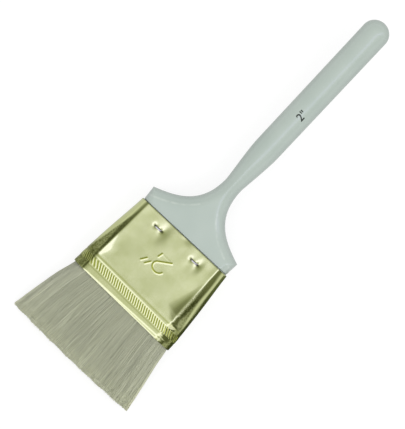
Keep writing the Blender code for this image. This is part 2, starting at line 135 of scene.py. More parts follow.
# Handle.
SHOULDER_LENGTH = 6.1 * MM
SHOULDER_HALF_WIDTH = 22.4 * MM
SHOULDER_RIM_HALF_WIDTH = 21.9 * MM
SHOULDER_HALF_THICKNESS = 7.3 * MM
SHOULDER_SIDE = 3.3 * MM  # from where the flat faces end to the side
SHOULDER_CUT_ANGLE = math.radians(20)
SHOULDER_CUT_PULL = 9.5 * MM
NECK_CUT_PULL = 14.7 * MM
ROUND_OVER = 5.3 * MM
ARRIS = 0.15 * MM
NECK_PLACE = 28.0 * MM
NECK_HALF_WIDTH = 3.75 * MM
NECK_HALF_THICKNESS = 6.0 * MM
THINNING_START = 20.5 * MM
NECK_GRIP_PULL = 1.5 * MM
GRIP_PLACE = 47.5 * MM
GRIP_HALF_WIDTH = 5.55 * MM
GRIP_PULL = 5.5 * MM
GRIP_END_HALF_WIDTH = 5.75 * MM
END_ROUND = 5.6 * MM
RUN_AND_HIGHLIGHT_INSET = 3.5 * MM  # from the routed outline to the line of the lacquer's runs and their painted highlight
RUN_AND_HIGHLIGHT_END = RIM_X + 16 * MM
TANG_LENGTH = 16.5 * MM
FIT_GAP = 0.3 * MM
SHOULDER_CORNER = RIM_X + SHOULDER_LENGTH
CUT_ROUNDING = 0.25 * MM  # over which the routed cuts run into each other and into the plank
SHOULDER_EASE = 0.2 * MM  # by which the shoulder's edge at the rim is rounded


# Small tools ----------


def ease(low, high, value):
    """From 0 below low to 1 above high, with a smooth start and end."""
    t = np.clip((value - low) / (high - low), 0, 1)
    return t * t * (3 - 2 * t)


def ease_mm(low, high, value):
    """The same between two lengths in millimetres."""
    return ease(low * MM, high * MM, value)


def soft_min(a, b, width):
    """The smaller of two values, with the corner between them rounded over that width."""
    near = np.maximum(width - np.abs(a - b), 0) / width
    return np.minimum(a, b) - near * near * width / 4


def bump(distance, width):
    """1 at distance 0, falling smoothly to 0 by about twice the width, which is in millimetres."""
    return np.exp(-((distance / (width * MM)) ** 2))


def wavy(points, wavelength, seed):
    """Smooth noise from -1 to 1 at each point, the same each run."""
    shift = Vector((seed * 17.3, seed * 5.1, seed * 9.7))
    return np.array([noise.noise(Vector(p) / wavelength + shift) for p in points])


def segment_distance(x, y, start, end):
    """Distance in the plan from each (x, y) to the segment between two points."""
    along = (end[0] - start[0], end[1] - start[1])
    length = along[0] ** 2 + along[1] ** 2
    share = np.clip(((x - start[0]) * along[0] + (y - start[1]) * along[1]) / length, 0, 1)
    return np.hypot(x - start[0] - share * along[0], y - start[1] - share * along[1])


def path_distance(x, y, path):
    """Distance in the plan from each (x, y) to a line of straight segments."""
    return np.min([segment_distance(x, y, a, b) for a, b in zip(path, path[1:])], axis=0)


def add_object(name, data):
    made = bpy.data.objects.new(name, data)
    bpy.context.scene.collection.objects.link(made)
    return made


def reshape(mesh, change):
    """Runs a change on the mesh while it is a bmesh."""
    bm = bmesh.new()
    bm.from_mesh(mesh)
    change(bm)
    bm.to_mesh(mesh)
    bm.free()


def weld(bm):
    bmesh.ops.remove_doubles(bm, verts=bm.verts, dist=0.001 * MM)
    bmesh.ops.dissolve_degenerate(bm, edges=bm.edges, dist=0.0005 * MM)
    bmesh.ops.recalc_face_normals(bm, faces=bm.faces)


def mesh_object(name, points, faces, material, values, sharp=None):
    """A smooth shaded object from points in the brush's frame, carried to where the brush lies.

    values are numbers that the material reads at each point, by their names. With sharp, the
    points are welded, and edges that turn by more than that angle stay sharp.
    """
    mesh = bpy.data.meshes.new(name)
    mesh.from_pydata(points.tolist(), [], faces)
    for attribute, numbers in values.items():
        mesh.attributes.new(attribute, "FLOAT", "POINT").data.foreach_set("value", numbers.astype(np.float32))
    if sharp:
        reshape(mesh, weld)
    mesh.transform(STANCE)
    mesh.shade_smooth()
    if sharp:
        mesh.set_sharp_from_angle(angle=sharp)
    mesh.materials.append(material)
    return add_object(name, mesh)


def ring_faces(first, count, after):
    """Quads between two closed rings of the same number of points, by their first indices."""
    turned = [(i + 1) % count for i in range(count)]
    return [(first + i, first + j, after + j, after + i) for i, j in zip(range(count), turned)]


def tube_faces(rings, count):
    """Quads from each ring of count points to the next."""
    return [face for i in range(rings - 1) for face in ring_faces(i * count, count, (i + 1) * count)]


# Materials ----------


class Nodes:
    """A node tree, with short calls for the nodes used here."""

    def __init__(self, tree, coordinates):
        self.tree = tree
        self.coordinates = self.add("ShaderNodeTexCoord").outputs[coordinates]

    def add(self, kind, inputs=(), **settings):
        node = self.tree.nodes.new(kind)
        for key, value in settings.items():
            setattr(node, key, value)
        for key, value in dict(inputs).items():
            self.feed(node.inputs[key], value)
        return node

    def feed(self, socket, value):
        if isinstance(value, bpy.types.NodeSocket):
            self.tree.links.new(value, socket)
        else:
            socket.default_value = value

    def math(self, operation, a, b):
        return self.add("ShaderNodeMath", {0: a, 1: b}, operation=operation).outputs[0]

    def stretched(self, scale):
        """The coordinates with each axis scaled, for patterns that run along one of them."""
        inputs = {"Vector": self.coordinates, "Scale": scale}
        return self.add("ShaderNodeMapping", inputs).outputs["Vector"]

    def along(self, axis):
        """How far along an axis the coordinates are."""
        inputs = {0: self.coordinates, 1: axis}
        return self.add("ShaderNodeVectorMath", inputs, operation="DOT_PRODUCT").outputs["Value"]

    def noise(self, scale, detail=3.0, roughness=0.5, vector=None, distortion=0.0):
        inputs = {"Vector": vector or self.coordinates, "Scale": scale, "Detail": detail}
        inputs |= {"Roughness": roughness, "Distortion": distortion}
        return self.add("ShaderNodeTexNoise", inputs).outputs["Fac"]

    def span(self, value, low, high, to_low=0, to_high=1):
        """A value from low to high mapped, with its ends held, from to_low to to_high."""
        inputs = {"Value": value, "From Min": low, "From Max": high, "To Min": to_low, "To Max": to_high}
        return self.add("ShaderNodeMapRange", inputs, clamp=True).outputs["Result"]

    def mix(self, share, a, b):
        """A colour between a and b."""
        return self.add("ShaderNodeMix", {"Factor": share, 6: a, 7: b}, data_type="RGBA").outputs[2]

    def ramp(self, value, steps):
        """A colour by steps of (value, (red, green, blue))."""
        made = self.add("ShaderNodeValToRGB", {"Fac": value})
        elements = made.color_ramp.elements
        while len(elements) < len(steps):
            elements.new(1.0)
        for element, (place, tone) in zip(elements, steps):
            element.position = place
            element.color = (*tone, 1)
        return made.outputs["Color"]

    def attribute(self, name):
        return self.add("ShaderNodeAttribute", attribute_name=name).outputs["Fac"]


class Finish(Nodes):
    """A material, by what is fed to its Principled shader."""

    def __init__(self, name):
        self.material = bpy.data.materials.new(name)
        self.material.use_nodes = True
        super().__init__(self.material.node_tree, "Object")
        self.shader = self.tree.nodes["Principled BSDF"]

    def set(self, name, value):
        self.feed(self.shader.inputs[name], value)

    def paint(self, value):
        self.set("Base Color", value)

    def roughen(self, pattern, least, most):
        self.set("Roughness", self.span(pattern, 0.3, 0.7, least, most))

    def relief(self, height, depth, strength):
        """Bump from a height of 0 to 1 that stands for that depth."""
        inputs = {"Height": height, "Distance": depth, "Strength": strength}
        self.set("Normal", self.add("ShaderNodeBump", inputs).outputs["Normal"])


def grey(level):
    return (level, level, level, 1)


def colour(red, green, blue):
    """A screen colour of 0 to 255 as the shader's linear one."""
    def linear(value):
        value /= 255
        return value / 12.92 if value <= 0.04045 else ((value + 0.055) / 1.055) ** 2.4
    return (linear(red), linear(green), linear(blue), 1.0)


def lacquer():
    """Glossy grey-green lacquer over wood, with a faint orange peel and a few specks.

    In dashes along a line inside the routed edge it has run into a low bead, and its colour there is made paler as
    a painted highlight.
    """
    nodes = Finish("gloss_lacquer")
    cloud = nodes.noise(55, detail=2)
    base = nodes.mix(nodes.span(cloud, 0.35, 0.65), colour(186, 199, 191), colour(192, 204, 196))
    speck = nodes.span(nodes.noise(2600, detail=1), 0.76, 0.80, 0, 0.35)
    base = nodes.mix(speck, base, colour(160, 170, 160))
    # The lacquer's runs: a low bead in the relief, and a paler colour as a painted highlight.
    along_edge = nodes.span(nodes.attribute("from_run_and_highlight"), 0.1 * MM, 0.6 * MM, 1, 0)
    run = nodes.math("MULTIPLY", along_edge, nodes.span(nodes.noise(420, detail=4), 0.40, 0.68))
    nodes.paint(nodes.mix(nodes.math("MULTIPLY", run, 0.5), base, colour(222, 230, 222)))
    nodes.roughen(nodes.noise(420, detail=4), 0.13, 0.22)
    nodes.set("Coat Weight", 0.12)
    nodes.set("Coat Roughness", 0.08)
    peel = nodes.math("ADD", nodes.noise(420, detail=1), nodes.noise(90, detail=1))
    nodes.relief(nodes.math("ADD", peel, nodes.math("MULTIPLY", run, 3.0)), 0.02 * MM, 0.5)
    return nodes.material


def brass():
    """Polished pale brass plate, dulled in patches.

    One attribute says where its fine grooves have gone olive, and also carries painted shade on one flank of each
    rib and beside the stamped mark; the other is painted shade, mostly painted dark reflections at the narrow
    ends.
    """
    nodes = Finish("brass_plate")
    patch = nodes.noise(160, detail=5, roughness=0.6)
    base = nodes.mix(nodes.span(patch, 0.3, 0.7), (0.62, 0.665, 0.345, 1), (0.675, 0.715, 0.395, 1))
    base = nodes.mix(nodes.attribute("patina_and_painted_shade"), base, (0.42, 0.47, 0.004, 1))
    # Painted shade: the brass is mixed towards dark olive, in mottled flecks, where it should look dark from what
    # it reflects.
    fleck = nodes.span(nodes.noise(1500, detail=4), 0.38, 0.62, 1.0, 0.65)
    painted_shade = nodes.math("MULTIPLY", nodes.attribute("painted_shade"), fleck)
    nodes.paint(nodes.mix(painted_shade, base, (0.12, 0.135, 0.03, 1)))
    nodes.set("Metallic", 1.0)
    hairs = nodes.noise(1.0, detail=3, vector=nodes.stretched((120, 3600, 900)))
    nodes.set("Roughness", nodes.span(nodes.math("ADD", patch, hairs), 0.7, 1.3, 0.12, 0.22))
    nodes.relief(nodes.math("ADD", hairs, nodes.noise(900, detail=3)), 0.004 * MM, 0.5)
    return nodes.material


def staple_steel():
    """Bright steel wire with drawing streaks, darkened as painted shade where it dips into its holes in the sheet.
    """
    nodes = Finish("staple_steel")
    streak = nodes.noise(1.0, detail=3, vector=nodes.stretched((3000, 500, 3000)))
    steel = nodes.mix(streak, (0.50, 0.50, 0.48, 1), (0.72, 0.71, 0.68, 1))
    across = nodes.add("ShaderNodeSeparateXYZ", {0: nodes.coordinates}).outputs["Y"]
    from_middle = nodes.math("SUBTRACT", nodes.math("ABSOLUTE", across, 0.0), STAPLE_YS[1])
    # Painted shade: the legs go nearly black where they dip into the sheet.
    painted_hole_shade = nodes.span(nodes.math("ABSOLUTE", from_middle, 0.0), 1.15 * MM, 1.75 * MM, 0.0, 0.94)
    nodes.paint(nodes.mix(painted_hole_shade, steel, (0.05, 0.05, 0.03, 1)))
    nodes.set("Metallic", 1.0)
    nodes.roughen(streak, 0.18, 0.36)
    nodes.relief(streak, 0.01 * MM, 0.5)
    return nodes.material


def hair_material():
    """Matte taupe filament: each strand has its own tone, with painted light making the tips and the outermost
    strands paler, painted shade on the strands towards the sides, and a painted shadow just under the ferrule's
    lip.
    """
    nodes = Finish("hair")
    shade = nodes.attribute("shade")
    streak = nodes.noise(1.0, detail=4, vector=nodes.stretched((40, 1500, 900)))
    # Painted shadow: the hair goes darker just under the ferrule's lip.
    painted_lip_shadow = nodes.span(nodes.along(ALONG), LIP.dot(ALONG) - 0.7 * MM, LIP.dot(ALONG), 0, -0.4)
    shade = nodes.math("ADD", shade, painted_lip_shadow)
    tone = nodes.math("ADD", shade, streak)
    base = nodes.mix(nodes.span(tone, 0.2, 2.2), colour(173, 176, 155), colour(227, 230, 202))
    # Where painted light lifts the tone past its usual range, at the tips and outermost strands, it goes paler
    # still.
    nodes.paint(nodes.mix(nodes.span(tone, 2.2, 3.2), base, colour(249, 250, 221)))
    nodes.roughen(streak, 0.5, 0.7)
    nodes.relief(streak, 0.03 * MM, 0.5)
    return nodes.material


def resin_material():
    nodes = Finish("resin")
    cloud = nodes.noise(300, detail=4)
    nodes.paint(nodes.mix(cloud, (0.45, 0.30, 0.10, 1), (0.62, 0.46, 0.20, 1)))
    nodes.roughen(cloud, 0.25, 0.45)
    nodes.relief(cloud, 0.05 * MM, 0.5)
    return nodes.material


def bare_wood():
    nodes = Finish("bare_birch")
    grain = nodes.noise(1.0, detail=5, vector=nodes.stretched((60, 900, 900)), distortion=0.6)
    nodes.paint(nodes.mix(grain, (0.48, 0.33, 0.18, 1), (0.68, 0.52, 0.33, 1)))
    nodes.roughen(grain, 0.55, 0.75)
    nodes.relief(grain, 0.05 * MM, 0.6)
    return nodes.material


def print_ink():
    nodes = Finish("printed_ink")
    wear = nodes.noise(2200, detail=3)
    worn = nodes.span(wear, 0.4, 0.7)
    nodes.paint(nodes.mix(worn, colour(34, 40, 36), colour(58, 66, 60)))
    nodes.roughen(wear, 0.35, 0.5)
    nodes.relief(wear, 0.01 * MM, 0.4)
    return nodes.material


# Ferrule ----------

PANEL_COLUMNS = PANEL_RIBS * COLUMNS_PER_RIB
END_COLUMNS = END_RIBS * COLUMNS_PER_RIB
COLUMNS = 2 * (PANEL_COLUMNS + END_COLUMNS)
CREASE_ROUNDING = 1.5  # columns to each side of a crease over which it bends
BEAD_CREASE_ROUNDING = 5.0


def along_ferrule(at_lip, at_rim, x):
    return at_lip + (at_rim - at_lip) * x / RIM_X


def rounded_end(half_width, half_thickness, exponent, crease, steps):
    """A quarter of a section: (y, z) from the crease, where the flat face ends, to the side."""
    centre = crease - END_INSET
    reach = half_width - centre
    start = END_INSET / reach
    rise = half_thickness / (1 - start**exponent) ** (1 / exponent)
    first = math.acos(start ** (exponent / 2))
    turn = np.linspace(first, 0, steps + 1)
    y = centre + reach * np.cos(turn) ** (2 / exponent)
    z = rise * np.abs(np.sin(turn)) ** (2 / exponent)
    return np.stack([y, z], axis=1)


class Section:
    """The ferrule's closed outline at one place along it, by columns spread round its girth."""

    def __init__(self, x, inset=0.0):
        self.x = x
        half_width = along_ferrule(LIP_HALF_WIDTH, RIM_HALF_WIDTH, x) - inset
        self.height = along_ferrule(LIP_HALF_THICKNESS, RIM_HALF_THICKNESS, x) - inset
        exponent = along_ferrule(LIP_EXPONENT, RIM_EXPONENT, x)
        quarter = rounded_end(half_width, self.height, exponent, HALF_PANEL, 160)
        below = quarter[-2::-1] * (1, -1)
        end = np.concatenate([quarter, below])
        steps = np.hypot(*np.diff(end, axis=0).T)
        run = np.concatenate([[0], np.cumsum(steps)]) / steps.sum()
        half = np.concatenate([[[-HALF_PANEL, self.height]], end])
        places = np.concatenate([[0], PANEL_COLUMNS + run * END_COLUMNS])
        self.places = np.concatenate([places, COLUMNS / 2 + places, [COLUMNS]])
        self.outline = np.concatenate([half, -half, half[:1]])

    def exactly_at(self, columns):
        turned = np.mod(columns, COLUMNS)
        return np.stack([np.interp(turned, self.places, self.outline[:, i]) for i in (0, 1)], axis=1)

    def at(self, columns):
        """(y, z) at each column, which may lie between whole ones, with the creases a little rounded."""
        on_beads = 1 - ease_mm(2.9, 3.5, self.x) + bump(self.x - 7.2 * MM, 0.8)
        rounding = CREASE_ROUNDING + (BEAD_CREASE_ROUNDING - CREASE_ROUNDING) * on_beads
        shifts = rounding * np.linspace(-1, 1, 7)
        return np.mean([self.exactly_at(columns + shift) for shift in shifts], axis=0)

    def outward(self, columns):
        """Unit vectors out of the outline, in its plane."""
        step = 0.5
        along = self.at(columns + step) - self.at(columns - step)
        out = np.stack([-along[:, 1], along[:, 0]], axis=1)
        return out / np.hypot(*out.T)[:, None]


def beads(x, y):
    """The rolled lip, wider on the right, and the low bead above the ribs, as steps up and down."""
    roll = 0.84 * MM - 0.030 * y
    height = 0.09 * MM * ease(roll - 0.3 * MM, roll + 0.3 * MM, x) + 0.03 * np.minimum(x, roll)
    height -= 0.04 * MM * ease_mm(2.6, 3.1, x)
    rise = 6.90 * MM + 0.015 * y
    height += 0.09 * MM * ease(rise - 0.35 * MM, rise + 0.35 * MM, x)
    return height - 0.04 * MM * ease_mm(7.5, 8.4, x) - 0.10 * MM


def rib_band(x):
    """1 within the ribs' band, fading at both of its sides."""
    low, high = RIB_BAND
    begun = ease(low - 0.1 * MM, low + 0.35 * MM, x)
    return begun * (1 - ease(high - 0.35 * MM, high + 0.1 * MM, x))


def rib_lean(x):
    """How many ribs the slant has run round at x."""
    low, high = RIB_BAND
    return RIB_LEAN * (x - low) / (high - low)


# What the staples pulled in on the front and back, in mm: x from their row, y, depth, width.
HOLLOWS = ((0, 9.6, 0.08, 2.6), (0.3, 7.0, 0.23, 2.0), (0, -9.6, 0.08, 2.6), (0, -11.9, 0.20, 1.3))


def leg_dimples(x, y):
    """How deep the staples have pulled the sheet in: wide hollows, a funnel and pleats at each leg."""
    depth = np.zeros_like(y)
    for from_row, middle, deep, width in HOLLOWS:
        from_middle = np.hypot(0.5 * (x - STAPLE_X - from_row * MM), y - middle * MM)
        depth += deep * MM * bump(from_middle, width)
    for middle in STAPLE_YS:
        from_middle = np.hypot(x - STAPLE_X, y - middle)
        turn = np.arctan2(x - STAPLE_X, y - middle)
        pleats = np.sin(3 * turn + 90 * middle) + 0.6 * np.sin(5 * turn + 1)
        depth += 0.006 * MM * pleats * bump(from_middle - 3.6 * MM, 2.2)
    for leg_y in LEG_YS:
        depth += 0.19 * MM * bump(np.hypot(x - STAPLE_X, y - leg_y), 0.90)
    return depth


def size_mark_strokes():
    """A stamped 2 with its inch marks, in the plan, read with the hair up; the base stroke comes last."""
    middle_x, middle_y = 22.1, -0.8
    turns = np.linspace(math.radians(165), math.radians(-35), 12)
    digit = [*[(2.6 * math.cos(t), 1.3 + 2.2 * math.sin(t)) for t in turns], (-2.9, -3.4)]
    serif = [(2.5, -3.6), (2.9, -1.8)]
    marks = [[(x + 0.5, 3.7), (x - 0.9, 1.6)] for x in (4.6, 6.7)]
    base = [(-2.9, -3.4), (2.5, -3.6)]
    strokes = [[(middle_x - up, middle_y + right) for right, up in s] for s in (digit, serif, *marks, base)]
    return [np.array(stroke) * MM for stroke in strokes]


*MARK_STROKES, MARK_BASE = size_mark_strokes()


def mark_distance(x, y, strokes):
    column = np.full_like(y, x)
    return np.min([path_distance(column, y, stroke) for stroke in strokes], axis=0)


def past_line(x, y, start, end):
    """Distance of each (x, y) past the line from start to end, towards larger y."""
    run = (end[0] - start[0], end[1] - start[1])
    return (run[0] * (y - start[1]) - run[1] * (x - start[0])) / math.hypot(*run)


def past_folds(x, y, folds, sharper):
    """How far each (x, y) is past both folds of a corner, the one by the hair counting for more."""
    low, knee, high = np.array(folds) * MM
    lower = sharper * past_line(x, y, low, knee)
    upper = past_line(x, y, knee, high)
    return np.maximum(soft_min(lower, upper, 0.6 * MM), 0)


def lifted_corners(x, y):
    """The corners of the pressed panel near the hair, which curl up past two folds to the crease."""
    lift = np.zeros_like(y)
    for hand, folds, sharper, curl, steepest in CORNER_FOLDS:
        past = past_folds(x, hand * y, folds, sharper)
        gentle = np.minimum(past, steepest / (2 * curl))
        lift += curl * gentle**2 + steepest * (past - gentle)
    return lift


def panel_relief(x, y, side):
    """How far the flat panels stand out from flat, inwards negative."""
    points = np.stack([np.full_like(y, x), y, np.full_like(y, side)], axis=1)
    near_rim = ease_mm(20, 32, x)
    relief = 0.040 * MM * (1 + near_rim) * wavy(points * (1, 1, 0.02), 11 * MM, 2 + side)
    relief += 0.010 * MM * (1 + near_rim) * wavy(points * (1, 1, 0.02), 4.2 * MM, 7 + side)
    relief += 0.012 * np.maximum(x - 22 * MM, 0)
    relief += 0.03 * MM * bump(np.abs(y) - HALF_PANEL, 1.8)
    relief -= leg_dimples(x, y)
    relief += lifted_corners(x, y)
    rim_dent = np.hypot(x - RIM_X, (y + side * 2.0 * MM) * 0.7)
    relief -= 0.16 * MM * bump(rim_dent, 1.4)
    if side > 0:
        relief += 0.062 * MM * bump(mark_distance(x, y, MARK_STROKES), 0.30)
        relief += 0.02 * MM * bump(mark_distance(x, y, [MARK_BASE]), 0.32)
    return relief


def end_relief(x, points):
    """The narrow ends: squarer than the plain outline, with small dents that are denser near the lip."""
    spots = np.column_stack([np.full(len(points), x), points])
    height = np.abs(points[:, 1]) / LIP_HALF_THICKNESS
    past = np.abs(points[:, 0]) - HALF_PANEL
    right = (points[:, 0] < 0).astype(float)
    near_lip = 1 - ease_mm(6, 16, x)
    relief = 0.014 * MM * wavy(spots, 1.5 * MM, 3) * (0.4 + (1 + 1.2 * right) * near_lip)
    relief += 0.05 * MM * wavy(spots * (0.4, 1, 1), 4.5 * MM, 11)
    swell = 0.46 * MM * (0.7 + 0.3 * ease_mm(2, 9, x)) * (1 - ease_mm(14, 36, x))
    relief += swell * np.where(height > 0.55, np.exp(-(((height - 0.55) / 0.3) ** 2)), 1)
    on_beads = bump(x - 7.2 * MM, 1.0) + 0.6 * (1 - ease_mm(1.2, 2.2, x))
    return relief + 0.42 * MM * right * on_beads * bump(past - 2.5 * MM, 1.3)


def right_painted_shade(x, y, past):
    """Painted dark reflections on both sides of a bright strip, and clear again towards the handle."""
    strip = 2.3 * MM + 3.3 * (RIM_X - x) ** 2
    inside = 1 - ease(strip - 0.6 * MM - 0.7 * MM * ease_mm(14, 28, x), strip, past)
    outside = ease(strip + 0.25 * MM, strip + 0.75 * MM, past)
    dark = 0.05 + (0.84 * inside + 0.74 * outside) * (1 - ease_mm(20, 32, x))
    # Painted highlights along the folds: lines left clear of the painted shade.
    for fold_highlight in END_FOLD_HIGHLIGHTS:
        line = path_distance(np.full_like(y, x), y, np.array(fold_highlight) * MM)
        dark -= 0.5 * bump(line, 0.3)
    return dark


def left_painted_shade(x, past):
    """Painted dark reflections in a wedge beside the crease that narrows and fades towards the handle."""
    wedge = 1.20 * MM + 0.21 * (30 * MM - x)
    inside = 1 - ease(wedge - 0.5 * MM, wedge + 0.1 * MM, past)
    dark = 0.02 + 0.08 * (1 - ease_mm(9, 17, x))
    return dark + 0.92 * inside * (1 - 0.5 * ease_mm(18, 33, x))


def end_painted_shade(x, y):
    """Painted dark reflections on the narrow ends, most of all near the lip."""
    past = np.abs(y) - HALF_PANEL
    near_lip = 1 - ease_mm(7, 16, x)
    outer = ease_mm(0.5, 3.0, past)
    amount = np.where(y < 0, right_painted_shade(x, y, past), left_painted_shade(x, past))
    on_edge = ease_mm(3.6, 4.5, past)
    at_lip = np.where(y < 0, 0.10 + 0.35 * outer + 0.45 * on_edge, 0.76 + 0.20 * outer)
    amount = amount + (at_lip - amount) * near_lip * 0.7
    return np.clip(amount, 0, 1) * ease_mm(-0.1, 0.3, past)


def painted_shade(x, points, crests):
    """How much painted shade the brass has: painted dark reflections at the ends, a painted shadow line at the
    rim, painted shade in the staple holes, in a curled corner and beside the stamped mark, but not on the ribs'
    crests.
    """
    y, z = points.T
    amount = end_painted_shade(x, y) * (1 - 0.9 * crests)
    # A painted shadow line where the rim meets the handle.
    amount = np.maximum(amount, 0.7 * bump(x - RIM_X, 0.25))
    # Painted shade in a curled corner of the panel.
    hand, folds = CORNER_FOLDS[0][:2]
    in_corner = ease_mm(1.0, 6.0, past_folds(x, hand * y, folds, 3.0))
    amount = np.maximum(amount, 0.42 * in_corner * (np.abs(y) < HALF_PANEL - 0.2 * MM) * (x > 8.4 * MM))
    # Painted shade in the staple holes.
    for leg_y in LEG_YS:
        hole = np.hypot(x - STAPLE_X, (y - leg_y + 0.1 * MM) * 0.8)
        amount = np.maximum(amount, 1.0 - ease_mm(0.40, 0.80, hole))
    # A painted shadow to one side of the stamped mark's strokes.
    mark = mark_distance(x - 0.15 * MM, y - 0.15 * MM, MARK_STROKES)
    return np.maximum(amount, 0.30 * ease_mm(0, 1, z) * bump(mark, 0.20))


def patina_and_painted_shade(x, points, valleys_and_dark_flanks):
    """How olive the brass has gone: in its hollows between the ribs and in the grooves, with painted shade on one
    flank of each rib and on one side of the stamped mark's strokes.
    """
    y, z = points.T
    # On the ribs the olive lies between each valley and the flank that looks dark: partly patina, partly painted
    # shade.
    amount = 0.06 + 0.12 * (1 - ease_mm(8.0, 8.6, x)) + 0.65 * valleys_and_dark_flanks**1.3
    for groove, width, much in ((2.95 * MM, 0.25, 0.40), (8.0 * MM, 0.30, 0.36)):
        amount = np.maximum(amount, much * bump(x - groove, width))
    # Beside the mark it is shifted to one side of the strokes, as a painted shadow.
    mark = mark_distance(x - 0.12 * MM, y - 0.12 * MM, MARK_STROKES)
    front = ease_mm(0, 1, z)
    return np.maximum(amount, front * bump(mark, 0.30))


def crease_shift(x, y):
    """How far the creases stray across the brush: both lie a little closer together at the rim."""
    right = 0.60 * MM * ease_mm(6, 21, x)
    left = 0.32 * MM - 0.038 * (x - 25 * MM)
    return np.where(y < 0, right, left)


def ferrule_ring(x, columns, inset=0.0, ribbed=True):
    """One ring of the sheet, its plain outline plus all that was pressed in: x, y, z, painted shade, and olive
    with some painted shade.
    """
    section = Section(x, inset)
    points = section.at(columns)
    out = section.outward(columns)
    y, z = points.T
    past = np.abs(y) - HALF_PANEL
    flat = 1 - ease_mm(-0.2, 4.0, past)
    panels = np.where(z > 0, panel_relief(x, y, 1), panel_relief(x, y, -1))
    clear = ease_mm(8.2, 9.6, x)
    ends = ease_mm(0, 1.2, past) * end_relief(x, points)
    relief = beads(x, y) + flat * clear * panels + ends
    turn = 2 * math.pi * (columns / COLUMNS_PER_RIB - rib_lean(x))  # 0 on a rib's crest
    crests = (0.5 + 0.5 * np.cos(turn)) ** 1.4
    # Between each rib's valley and its flank that looks dark: olive there is partly patina, partly painted shade.
    valleys_and_dark_flanks = 0.5 + 0.5 * np.cos(turn - 0.7 * math.pi)
    if ribbed:
        taller = 1 + ease_mm(0, 1.5, past) * np.where(y < 0, 1.8, 0.5)
        relief += RIB_HEIGHT * rib_band(x) * (crests - 0.35) * taller
    curl = 0.06 * MM * bump(x, 0.25) + 0.03 * MM * bump(x - RIM_X, 0.15)
    moved = points + out * (relief - curl)[:, None]
    dark = painted_shade(x, moved, rib_band(x) * crests)
    olive = patina_and_painted_shade(x, moved, rib_band(x) * valleys_and_dark_flanks)
    skewed = x + LIP_SKEW * y * (1 - 0.8 * x / RIM_X)
    across = moved[:, 0] + crease_shift(x, y) * bump(past, 2.1)
    return np.column_stack([skewed, across, moved[:, 1], dark, olive])


def spaced(start, end, step):
    count = max(1, round(abs(end - start) / step))
    return list(np.linspace(start, end, count + 1))


def denser_faces(coarse, count, fine):
    """Triangles between a ring and one with twice its points."""
    faces = []
    for i in range(count):
        j = (i + 1) % count
        a, b, c = fine + 2 * i, fine + 2 * i + 1, fine + 2 * j
        faces += [(coarse + i, a, b), (coarse + i, b, coarse + j), (coarse + j, b, c)]
    return faces


def ferrule_stations():
    """Where the sheet's rings are: outside before, in and after the ribs' band, then back inside."""
    low, high, rim = np.array([*RIB_BAND, RIM_X]) / MM
    before = [0, 0.12, 0.3, 0.5, *spaced(0.66, 3.34, 0.2)]
    band = [low, low + 0.15, low + 0.35, *spaced(low + 0.7, high - 0.7, 0.55)]
    band += [high - 0.35, high - 0.15, high]
    after = spaced(6.85, 8.15, 0.16) + spaced(8.4, 17.5, 0.35) + spaced(17.7, 26.9, 0.2)
    after += [*spaced(27.2, rim - 0.5, 0.31), rim - 0.25, rim - 0.1, rim]
    inner = [rim, rim - 0.5, *spaced(rim - 1.5, 8.6, 0.9), *spaced(8.15, 6.85, 0.3), 5]
    inner += [*spaced(3.35, 0.65, 0.45), 0]
    return [np.array(part) * MM for part in (before, band, after, inner)]


def ferrule_rings():
    """Rings round the sheet, with twice the points in the ribs' band, where they turn with the ribs."""
    before, band, after, inner = ferrule_stations()
    whole = np.arange(COLUMNS, dtype=float)
    halves = np.arange(2 * COLUMNS) / 2
    turned = round(RIB_LEAN * COLUMNS_PER_RIB)
    rings = [ferrule_ring(x, whole) for x in before]
    rings += [ferrule_ring(x, halves + COLUMNS_PER_RIB * rib_lean(x)) for x in band]
    rings += [ferrule_ring(x, whole + turned) for x in after]
    for x in inner:
        columns = whole + turned * ease(*RIB_BAND, x)
        rings.append(ferrule_ring(x, columns, SHEET, ribbed=False))
    return rings


def sheet_faces(rings):
    """Faces from each ring to the next, and from the last one inside to the first outside."""
    sizes = [len(ring) for ring in rings]
    starts = np.cumsum([0, *sizes]).tolist()
    faces = []
    for i, size in enumerate(sizes):
        j = (i + 1) % len(sizes)
        if size == sizes[j]:
            faces += ring_faces(starts[i], size, starts[j])
        elif size < sizes[j]:
            faces += denser_faces(starts[i], size, starts[j])
        else:
            faces += [face[::-1] for face in denser_faces(starts[j], sizes[j], starts[i])]
    return faces


def make_ferrule():
    rings = ferrule_rings()
    table = np.concatenate(rings)
    values = {"painted_shade": table[:, 3], "patina_and_painted_shade": table[:, 4]}
    points, faces = table[:, :3], sheet_faces(rings)
    ferrule = mesh_object("ferrule_sheet", points, faces, brass(), values, math.radians(50))
    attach(ferrule, HANDLE_BODY)
    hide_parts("ferrule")


# Handle ----------


def bezier(start, start_pull, end_pull, end, steps):
    """Points of a cubic curve in the plan, without the last one."""
    t = np.linspace(0, 1, steps + 1)[:-1, None]
    s = 1 - t
    return s**3 * start + 3 * s * s * t * start_pull + 3 * s * t * t * end_pull + t**3 * end


